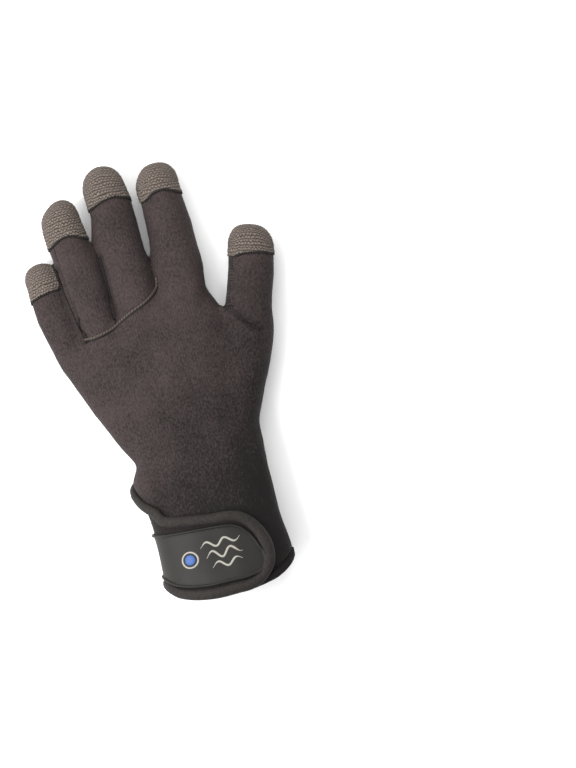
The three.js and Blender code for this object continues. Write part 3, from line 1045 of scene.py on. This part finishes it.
# %% [markdown]
# The palm is the same knit, seen only from the side and from below. Its tones are darker than the tips': a
# painted shade for a panel that faces away from the lamps. Its rows cross the hand, and its coordinates are
# simply the plan, with the height added at the sides so that the pattern runs up the edges.

# %% Knit the palm
palm = to_object(cut_panel(PALM), "palm_knit")
palm_places = points_of(palm.data)
palm_outward = normals_of(palm.data)
write_uv(palm.data, palm_places[:, 0] + np.sign(palm_outward[:, 0]) * palm_places[:, 2], palm_places[:, 1])
to_side_seam = distance_to(np.vstack(seams["side"]), palm_places)
move_points(palm.data, sink_seam(palm_places, palm_outward, to_side_seam))
thicken(palm, CAP_WALL)
place_piece(palm, "palm_knit", shaded_palm_knit, "palm_panel")

# %% [markdown]
# Stitches are short thick threads in a row. Each one is a tiny ball stretched along its own direction, with
# only a few faces, because there are hundreds. They lie on the smooth skin: the nearest skin point gives
# each stitch the way out of the cloth. A table says how far apart, how long and how thick they are. The seam
# over the knuckles is covered by a folded tape, which is a round tube along a line drawn in plan.

# %% Sew the seams
BALL_SIDES = 6
BALL_RINGS = 4
CAP_STITCH = {"pitch": 1.35, "length": 2.1, "thick": 1.1, "slant": 66, "lift": 0.3}
SIDE_STITCH = {"pitch": 1.7, "length": 1.0, "thick": 0.4, "slant": 70, "lift": -0.05, "aside": 0.7}
TWIST = 0.5
THREAD_LOOKS = {"Roughness": 0.7, "IOR": 1.53, "Specular IOR Level": 0.25}

skin_normals = normals_of(skin_mesh)
skin_tree = tree_of(soft)


def way_out(line, rounds=8):
    """The skin's outward direction along a line, softened."""
    found = np.array([skin_normals[skin_tree.find(place)[1]] for place in line])
    found = soften_line(found, rounds)
    return found / np.linalg.norm(found, axis=1)[:, None]


def sew(bm, line, pitch, length, thick, slant=0, aside=0, lift=0.0):
    """Adds stitches along a line. slant turns each one from the line's way, in degrees."""
    line = evenly(line, pitch)
    outs = way_out(line)
    for place, out, ahead in zip(line, outs, np.gradient(line, axis=0)):
        ahead = Vector(ahead).normalized()
        out = Vector(out)
        side = out.cross(ahead).normalized()
        ahead = Matrix.Rotation(math.radians(slant), 3, out) @ ahead
        across = out.cross(ahead).normalized()
        turn = Matrix((across * thick / 2, out * thick / 2, ahead * length / 2)).transposed().to_4x4()
        turn.translation = Vector(place) + out * lift + side * aside
        bmesh.ops.create_uvsphere(bm, u_segments=BALL_SIDES, v_segments=BALL_RINGS, radius=1, matrix=turn)


# The black thread also colours the dark lines beside the knuckle piping and between the fingers, which are partly
# painted shade.
dark_thread_and_shade, pale_thread, tape = (two_tones(name, TWIST, 2, dark, light, THREAD_LOOKS) for name, dark, light in (
    ("black_sewing_thread_and_shade_line", "#080707", "#191514"),
    ("pale_polyester_sewing_thread", "#3a3330", "#675e58"),
    ("folded_nylon_seam_tape", "#332c2a", "#50463f")))


def sewn(name, lines, stitch, material=dark_thread_and_shade):
    bm = bmesh.new()
    for line in lines:
        sew(bm, line, **stitch)
    place_piece(to_object(to_mesh(bm, name), name), "neoprene", material)


def tube(line, width, sides=3, sizes=None):
    """A round tube along a line of places. sizes may widen it here and there."""
    curve = bpy.data.curves.new("tube", "CURVE")
    curve.dimensions = "3D"
    curve.bevel_depth = width / 2
    curve.bevel_resolution = sides
    curve.use_fill_caps = True
    spline = curve.splines.new("POLY")
    spline.points.add(len(line) - 1)
    spline.points.foreach_set("co", np.column_stack([line, np.ones(len(line))]).ravel())
    if sizes is not None:
        spline.points.foreach_set("radius", sizes)
    holder = to_object(curve, "tube")
    mesh = bpy.data.meshes.new_from_object(holder.evaluated_get(bpy.context.evaluated_depsgraph_get()))
    bpy.data.objects.remove(holder)
    return mesh


KNUCKLE = [(-45.2, 89.1), (-39.3, 88.7), (-32.5, 89.7), (-26.8, 91.1), (-22.2, 93.3), (-17.6, 95.7),
           (-12.3, 97.9), (-7.2, 99.6), (-2.7, 101.7), (1.1, 104.2), (4.0, 106.8), (5.6, 109.6), (6.2, 113.4)]
PIPING = 1.5
PIPING_LIFT = 0.25
PIPING_STEP = 0.6
KNUCKLE_STITCH = {"pitch": 2.0, "length": 1.7, "thick": 0.5, "slant": 42, "lift": PIPING_LIFT + 0.6}
DARK_LINE_WIDTH = 1.0
DARK_LIFT = 0.1
BELOW_PIPING = (0, 1.1, 0)
OVER_GLOVE = 80
BACK_HEIGHT = 30

skin_surface = BVHTree.FromBMesh(cloth)


def on_back(line):
    """Drops a line in plan onto the back of the glove."""
    found = []
    for x, y in line:
        hit = skin_surface.ray_cast(Vector((x, y, OVER_GLOVE)), Vector((0, 0, -1)))[0]
        found.append(hit or skin_surface.find_nearest(Vector((x, y, BACK_HEIGHT)))[0])
    return np.array(found)


def seam_on_back(points):
    return soften_line(on_back(curve_through(points, PIPING_STEP)), LINE_ROUNDS)


knuckle = seam_on_back(KNUCKLE)
knuckle_out = way_out(knuckle)
sewn("cap_seam_stitches", [line for name in FINGERS for line in seams[name + "_cap"]], CAP_STITCH)
sewn("side_seam_stitches", seams["side"], SIDE_STITCH, pale_thread)
piping = tube(knuckle + knuckle_out * PIPING_LIFT, PIPING)
place_piece(to_object(piping, "knuckle_seam_piping"), "neoprene", tape)
sewn("knuckle_seam_stitches", [knuckle], KNUCKLE_STITCH)
# A dark line in the thread's colour runs at the foot of the knuckle piping and down each crease between two fingers:
# partly seam thread, partly painted shade where the piping meets the cloth and where the fingers part.
below_piping = knuckle + knuckle_out * DARK_LIFT - BELOW_PIPING
finger_sides = [seam_on_back(points) for points, *_ in FINGER_CREASES]
for number, line in enumerate([below_piping, *finger_sides]):
    place_piece(to_object(tube(line, DARK_LINE_WIDTH), f"seam_thread_and_shade_line_{number}"), "neoprene", dark_thread_and_shade)

# %% [markdown]
# The strap is a flat thing that was bent round the wrist, so it is drawn flat and then bent. A place on it
# has three numbers: how far round the wrist, how far along the arm, and how high over the cloth. Rays from
# the wrist's axis measure the skin in all directions. That table, blurred a little, turns the three numbers
# into a place on the glove.

# %% Unroll the wrist
WRIST_AXIS_X = 1.5
WRIST_AXIS_Z = 21
TURNS = np.radians(np.arange(-176, 153, 2.0))
STATIONS = np.arange(-88, 17, 2.0)
MEAN_FROM, MEAN_TO = -62, -30
WRIST_ROUNDS = 3
BEND_STEP = 1.0


def radius_at(turn, station):
    start = Vector((WRIST_AXIS_X, station, WRIST_AXIS_Z))
    hit = skin_surface.ray_cast(start, Vector((math.sin(turn), 0, math.cos(turn))))
    return hit[3] if hit[0] else math.nan


radii = np.array([[radius_at(turn, station) for station in STATIONS] for turn in TURNS])
for row in radii:
    known = ~np.isnan(row)
    row[~known] = np.interp(STATIONS[~known], STATIONS[known], row[known])
for _ in range(WRIST_ROUNDS):
    for axis in (0, 1):
        swung = np.moveaxis(radii, axis, 0)
        swung[1:-1] = (swung[:-2] + 2 * swung[1:-1] + swung[2:]) / 4

mean_radius = radii[:, (STATIONS > MEAN_FROM) & (STATIONS < MEAN_TO)].mean(1)
section_x = WRIST_AXIS_X + mean_radius * np.sin(TURNS)
section_z = WRIST_AXIS_Z + mean_radius * np.cos(TURNS)
lengths = np.concatenate([[0], np.cumsum(np.hypot(np.diff(section_x), np.diff(section_z)))])
lengths -= np.interp(0, TURNS, lengths)


def round_from_x(x):
    """How far round the wrist a place on its back lies, from its x."""
    upper = abs(TURNS) < math.radians(90)
    return np.interp(x, section_x[upper], lengths[upper])


def round_from_z(z):
    """The same on the small finger's side, from its height."""
    on_side = (TURNS < math.radians(-60)) & (TURNS > math.radians(-135))
    return np.interp(z, section_z[on_side], lengths[on_side])


def at_wrist(around, along, height):
    turn = np.interp(around, lengths, TURNS)
    row = np.clip((turn - TURNS[0]) / (TURNS[1] - TURNS[0]), 0, len(TURNS) - 1.001)
    column = np.clip((along - STATIONS[0]) / (STATIONS[1] - STATIONS[0]), 0, len(STATIONS) - 1.001)
    i, j = row.astype(int), column.astype(int)
    u, v = row - i, column - j
    radius = ((1 - u) * (1 - v) * radii[i, j] + u * (1 - v) * radii[i + 1, j]
              + (1 - u) * v * radii[i, j + 1] + u * v * radii[i + 1, j + 1]) + height
    return np.stack([WRIST_AXIS_X + radius * np.sin(turn), along, WRIST_AXIS_Z + radius * np.cos(turn)], 1)


def bend(flat):
    """Bends flat places round the wrist. Their height stands square on the cloth."""
    around, along, height = flat.T
    flush = 0 * height
    base = at_wrist(around, along, flush)
    side = at_wrist(around + BEND_STEP, along, flush) - at_wrist(around - BEND_STEP, along, flush)
    up = at_wrist(around, along + BEND_STEP, flush) - at_wrist(around, along - BEND_STEP, flush)
    out = np.cross(side, up)
    out *= np.sign((out * (base - (WRIST_AXIS_X, 0, WRIST_AXIS_Z)) * (1, 0, 1)).sum(1))[:, None]
    return base + out / np.linalg.norm(out, axis=1)[:, None] * height[:, None]


print("round the wrist, mm:", round(float(lengths[-1] - lengths[0])), "of it on the back:",
      round(float(round_from_x(30) - round_from_x(-30))))

# %% [markdown]
# The strap's outline, drawn flat. It is sewn on at the small finger's side, where its end climbs as a lobe
# under the edge of the hand. It crosses the back of the wrist and ends in a round tongue, and its lower
# edge runs along the cuff's rim. Places on the back are given by x and y, places on the side by z and y.

# %% Draw the strap's outline
ON_SIDE = [(5, 0), (13, -1.2), (21, -5.5), (28, -12.5), (34, -19.5)]
ON_BACK = [(-27, -25.4), (-14, -28.8), (0, -31), (8, -31.9), (16, -34.5), (23, -41.5), (27, -51),
           (28, -61), (25.6, -70.5), (19.5, -77.4), (11, -80.8)]
LOW_SIDES = (0, -11, -21, -29)
LOW_HEIGHTS = (33, 26, 19, 12, 5)
RIM_MARGIN = 1.3


def low_edge(around):
    place = at_wrist(np.array([around]), np.array([-75.0]), np.zeros(1))
    return -past_rim(place - (0, place[0, 1], 0))[0] + RIM_MARGIN


def flat_places(side, back):
    """Places on the side by z and y, then places on the back by x and y, all on the flat strap."""
    return [(round_from_z(z), y) for z, y in side] + [(round_from_x(x), y) for x, y in back]


low_round = [round_from_x(x) for x in LOW_SIDES] + [round_from_z(z) for z in LOW_HEIGHTS]
low_line = [(around, low_edge(around)) for around in low_round]
outline = curve_through(flat_places(ON_SIDE, ON_BACK) + low_line, 1.0)
print("strap, flat, length and width in mm:", np.round(np.ptp(outline, axis=0)))


def inside_of(line, places):
    """Distance from a closed flat line, positive inside."""
    best = np.full(len(places), np.inf)
    crossings = np.zeros(len(places), int)
    for (x0, y0), (x1, y1) in zip(line, np.roll(line, -1, 0)):
        way = np.array((x1 - x0, y1 - y0))
        size = way @ way
        if size == 0:
            continue
        share = np.clip(((places - (x0, y0)) @ way) / size, 0, 1)
        near = (x0, y0) + share[:, None] * way
        best = np.minimum(best, np.hypot(*(places - near).T))
        spans = (y0 > places[:, 1]) != (y1 > places[:, 1])
        if y1 != y0:
            crossings += spans & (places[:, 0] < (x1 - x0) * (places[:, 1] - y0) / (y1 - y0) + x0)
    return np.where(crossings % 2, best, -best)


def inset(line, depth):
    """An open line moved inwards, to the right of its way."""
    way = np.gradient(line, axis=0)
    way /= np.linalg.norm(way, axis=1)[:, None]
    return line + np.reshape(depth, (-1, 1)) * np.stack([way[:, 1], -way[:, 0]], 1)


# %% [markdown]
# The strap is made of three things, and each has its own way of making. The pad is a flat grid, cut to
# shape and given a wall. The binding is a padded roll along the edge, so it is a curve with a round bevel,
# flattened. The rubber panel is a finer grid whose height follows the distance from its edge: a thin raised
# lip, and a flat field inside it.

# %% Make the strap's three pieces
ROLL_WIDTH = 6.4
ROLL_HEIGHT = 5.4
ROLL_END = (27, -56)
ROLL_END_SIZE = 0.16
ROLL_END_REACH = 14
PAD_GRID = 1.1
PANEL_GRID = 0.5
PAD_TOP = 2.1
PAD_WALL = 1.9
LIP_WIDTH = 1.5
LIP_HEIGHT = 1.5
FIELD_HEIGHT = 0.6
PAD_INSET = 2.4
PANEL_LIFT = 0.3
PANEL_WALL = 0.28


def flat_cloth(line, step):
    """A grid cut to a closed flat line, and each point's distance inside it."""
    low, high = line.min(0) - step, line.max(0) + step
    counts = np.ceil((high - low) / step).astype(int)
    bm = bmesh.new()
    bmesh.ops.create_grid(bm, x_segments=int(counts[0]), y_segments=int(counts[1]), size=0.5)
    bmesh.ops.scale(bm, vec=(*(counts * step), 1), verts=bm.verts)
    bmesh.ops.translate(bm, vec=(*((low + high) / 2), 0), verts=bm.verts)
    edge = fill_layer(bm, "edge", inside_of(line, np.array([vert.co[:2] for vert in bm.verts])))
    cut_along(bm, edge)
    bmesh.ops.delete(bm, geom=[face for face in bm.faces if side_of(face, edge) < 0], context="FACES")
    bmesh.ops.recalc_face_normals(bm, faces=bm.faces)
    if sum(face.normal.z for face in bm.faces) < 0:
        bmesh.ops.reverse_faces(bm, faces=bm.faces)
    return bm, np.array([vert[edge] for vert in bm.verts])


def flat_tube(line, width, height, level, sides, sizes=None):
    """A round tube along a flat line, pressed to a height, lying at a level."""
    mesh = tube(np.column_stack([line, np.zeros(len(line))]), width, sides, sizes)
    places = points_of(mesh)
    places[:, 2] = places[:, 2] * height / width + level
    move_points(mesh, places)
    return mesh


def bent_piece(name, mesh, slot, material, *nodes, wall=0):
    piece = to_object(mesh, name)
    move_points(mesh, bend(points_of(mesh)))
    if wall:
        thicken(piece, wall)
    place_piece(piece, slot, material, *nodes)


binding_cloth = jersey("nylon_jersey_binding_tape", "#131110", "#2c2826", 0.75, 0.35)
pad_cloth = jersey("nylon_jersey_strap_pad", "#0d0b0b", "#1d1917", 0.85, 0.35)

rubber = new_material("moulded_neoprene_rubber_sheet")
rubber_place = object_place(rubber)
rubber_tone = blend(rubber, noise(rubber, rubber_place, 18, 4), "#0f0e0b", "#1b1915")
rubber_grain = noise(rubber, rubber_place, 0.8, 3, 0.6)
finish_material(rubber, rubber_tone, {"Roughness": 0.62, "IOR": 1.52, "Specular IOR Level": 0.25},
                relief_of(rubber, rubber_grain, 0.35, 0.15))

pad = flat_cloth(inset(outline, PAD_INSET), PAD_GRID)[0]
for vert in pad.verts:
    vert.co.z = PAD_TOP
bent_piece("strap_pad", to_mesh(pad, "strap_pad"), "strap_cloth", pad_cloth, "wrist_strap", wall=PAD_WALL)

roll_end = np.hypot(outline[:, 0] - round_from_x(ROLL_END[0]), outline[:, 1] - ROLL_END[1])
roll_sizes = 1 + ROLL_END_SIZE * np.exp(-(roll_end / ROLL_END_REACH) ** 2)
roll = flat_tube(inset(outline, ROLL_WIDTH / 2 * roll_sizes), ROLL_WIDTH, ROLL_HEIGHT, PAD_TOP, 5, roll_sizes)
bent_piece("strap_binding_roll", roll, "strap_cloth", binding_cloth, "strap_binding")

PANEL_SIDE = [(12, -33.2), (19, -33.6), (26, -34.4)]
PANEL_BACK = [(-24.3, -36.4), (-10, -37.8), (2.2, -38.9), (9, -40.2), (13.8, -43), (18.4, -49), (20.6, -55),
              (21.2, -58.4), (22.5, -59.4), (22.8, -66), (21.4, -70.2), (16.5, -72.8), (9, -73.6)]
PANEL_INSET = 7.6
PANEL_ROUNDS = 8
panel_low = [(around, along + PANEL_INSET) for around, along in low_line[:-1]]
panel_corners = np.array(flat_places(PANEL_SIDE, PANEL_BACK) + panel_low)
panel_line = soften_line(evenly(panel_corners, LINE_STEP), PANEL_ROUNDS)
panel, panel_inside = flat_cloth(panel_line, PANEL_GRID)
for vert, inside in zip(panel.verts, panel_inside):
    across = min(max(inside / LIP_WIDTH, 0), 1)
    lip = LIP_HEIGHT * math.sin(math.pi * across) ** 0.8 if across < 1 else 0
    vert.co.z = PAD_TOP + PANEL_LIFT + lip + FIELD_HEIGHT * ease(inside / LIP_WIDTH - 0.5)
bent_piece("strap_rubber_panel", to_mesh(panel, "strap_rubber_panel"), "strap_rubber", rubber,
           "strap_rubber", wall=PANEL_WALL)

# %% [markdown]
# A thin rolled lip runs round the rubber's edge.

# %% Roll the panel's lip
LIP_ROLL = 1.5
LIP_TOP = 2.3
LIP_LEVEL = PAD_TOP + 1.0

lip_line = inset(np.vstack([panel_line, panel_line[:1]]), LIP_ROLL / 2)
lip = flat_tube(lip_line, LIP_ROLL, LIP_TOP, LIP_LEVEL, 3)
bent_piece("strap_panel_lip", lip, "strap_rubber", rubber)

# %% [markdown]
# The rubber carries a printed picture. A raised ink is a thin layer on top, so it is modelled as thin
# strips laid on the panel and bent with it. The picture is an invented one: three waves and a blue drop.

# %% Print the panel
INK_LEVEL = PAD_TOP + PANEL_LIFT + FIELD_HEIGHT
INK_WIDTH = 1.3
INK_HEIGHT = 0.5
WAVE_LENGTH = 11
WAVE_START, WAVE_END = -12, 12
WAVE_ROWS = ((-48.5, 1.9, 0), (-55.0, 2.4, 2), (-61.5, 1.9, 4))
DROP_PLACE = (-19, -54.5)
DROP_SIZE = 3.1
RING_SIZE = DROP_SIZE + 1.5
RING_WIDTH = 1.0
PRINT_STEP = 0.4
WAVE_FADE = 0.05
THINNING = 4
THINNEST = 0.25
INK_LOOKS = {"Roughness": 0.55, "IOR": 1.5}


def join_meshes(name, meshes):
    bm = bmesh.new()
    for mesh in meshes:
        bm.from_mesh(mesh)
        bpy.data.meshes.remove(mesh)
    return to_mesh(bm, name)


def wave_strip(along, height, push):
    x = np.arange(WAVE_START + push, WAVE_END - push / 2, PRINT_STEP)
    y = along + height * np.sin(2 * math.pi * (x - push) / WAVE_LENGTH) * np.cos(x * WAVE_FADE)
    taper = np.clip(np.minimum(x - x[0], x[-1] - x) / THINNING, THINNEST, 1)
    line = np.stack([[round_from_x(value) for value in x], y], 1)
    return flat_tube(line, INK_WIDTH, INK_HEIGHT, INK_LEVEL, 2, taper)


def drop_ring():
    turn = np.linspace(0, 2 * math.pi, 40)
    line = np.stack([round_from_x(DROP_PLACE[0]) + RING_SIZE * np.sin(turn),
                     DROP_PLACE[1] + RING_SIZE * np.cos(turn)], 1)
    return flat_tube(line, RING_WIDTH, INK_HEIGHT, INK_LEVEL, 2)


def drop_disc():
    bm = bmesh.new()
    bmesh.ops.create_uvsphere(bm, u_segments=28, v_segments=10, radius=1)
    bmesh.ops.scale(bm, vec=(DROP_SIZE, DROP_SIZE, 0.5), verts=bm.verts)
    bmesh.ops.translate(bm, vec=(round_from_x(DROP_PLACE[0]), DROP_PLACE[1], INK_LEVEL), verts=bm.verts)
    return to_mesh(bm, "drop")


pale_ink = two_tones("raised_pale_grey_screen_ink", 0.9, 3, "#75716a", "#928e85", INK_LOOKS)
blue_ink = two_tones("raised_blue_screen_ink", 0.9, 3, "#0f3569", "#15488c", INK_LOOKS)
waves_print = join_meshes("print_waves", [wave_strip(*row) for row in WAVE_ROWS] + [drop_ring()])
bent_piece("print_waves", waves_print, None, pale_ink)
bent_piece("print_drop", drop_disc(), None, blue_ink)

# %% [markdown]
# The hem of the cuff is a fold, held by two rows of long stitches that run round beside the rim.

# %% Stitch the hem
HEM_ROWS = (2.6, HEM)
HEM_START_X = 18
HEM_END = math.radians(150)
HEM_STITCH = {"pitch": 2.9, "length": 2.7, "thick": 0.55, "lift": -0.05}


def hem_line(row):
    around = np.arange(round_from_x(HEM_START_X), np.interp(HEM_END, TURNS, lengths), 1.0)
    along = np.array([low_edge(value) - RIM_MARGIN + RIM_CUT + row for value in around])
    return at_wrist(around, along, 0 * around)


sewn("hem_stitches", [hem_line(row) for row in HEM_ROWS], HEM_STITCH)

# %% [markdown]
# The picture is taken from straight above, as for a shop page: the glove lies a little turned on a white
# table, under two wide soft lamps, one at its left and one beyond its fingers, in a bright room. The camera
# is high up, so that the fingers aren't drawn larger than the cuff.

# %% Table, lamps and camera
CAMERA_HEIGHT = 4000
PICTURE = (576, 768)
MM_PER_PIXEL = 0.6
GLOVE_TURN = 16
WRIST_PIXEL = (199, 462)
SENSOR = 36
ROOM_LIGHT = 0.85


def table_top():
    bm = bmesh.new()
    bmesh.ops.create_grid(bm, x_segments=1, y_segments=1, size=4)
    floor = to_object(to_mesh(bm, "table_top"), "table_top")
    floor.data.materials.append(
        two_tones("matt_white_table_paint", 25, 2, "#f1f1f1", "#f5f5f5", {"Roughness": 0.7}))
    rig.stage(floor)


def lamp(name, place, size, watts):
    light = bpy.data.lights.new(name, "AREA")
    light.size = size
    light.energy = watts
    holder = to_object(light, name)
    holder.location = place
    holder.rotation_euler = (-Vector(place)).to_track_quat("-Z", "Y").to_euler()


def aim_camera():
    turn = math.radians(GLOVE_TURN)
    right = (PICTURE[0] / 2 - WRIST_PIXEL[0]) * MM_PER_PIXEL
    up = (WRIST_PIXEL[1] - PICTURE[1] / 2) * MM_PER_PIXEL
    middle = Matrix.Rotation(-turn, 3, "Z") @ Vector((right, up, 0))
    data = bpy.data.cameras.new("camera")
    data.sensor_width = SENSOR
    data.lens = SENSOR * CAMERA_HEIGHT / (PICTURE[1] * MM_PER_PIXEL)
    camera = to_object(data, "camera")
    camera.location = TO_ROW @ (middle + Vector((0, 0, CAMERA_HEIGHT)))
    camera.rotation_euler = (0, 0, -turn)
    bpy.context.scene.camera = camera
    print("lens", round(data.lens), "mm")


table_top()
lamp("key_softbox", (-0.5, -0.05, 0.52), 0.6, 9.0)
lamp("top_softbox", (0.05, 0.48, 0.6), 0.7, 4.8)
aim_camera()
world = bpy.data.worlds.new("studio")
world.use_nodes = True
background = world.node_tree.nodes["Background"].inputs
background["Color"].default_value = (1, 1, 1, 1)
background["Strength"].default_value = ROOM_LIGHT
bpy.context.scene.world = world
bpy.context.scene.view_settings.view_transform = "Standard"

# %% Finish
bpy.data.objects.remove(skin)
cloth.free()
with open("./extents.json", "w") as file:
    json.dump({"cad": [list(corner) for corner in cad_box],
               "visual": [list(corner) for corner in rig.bounds()]}, file)
print(open("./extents.json").read())
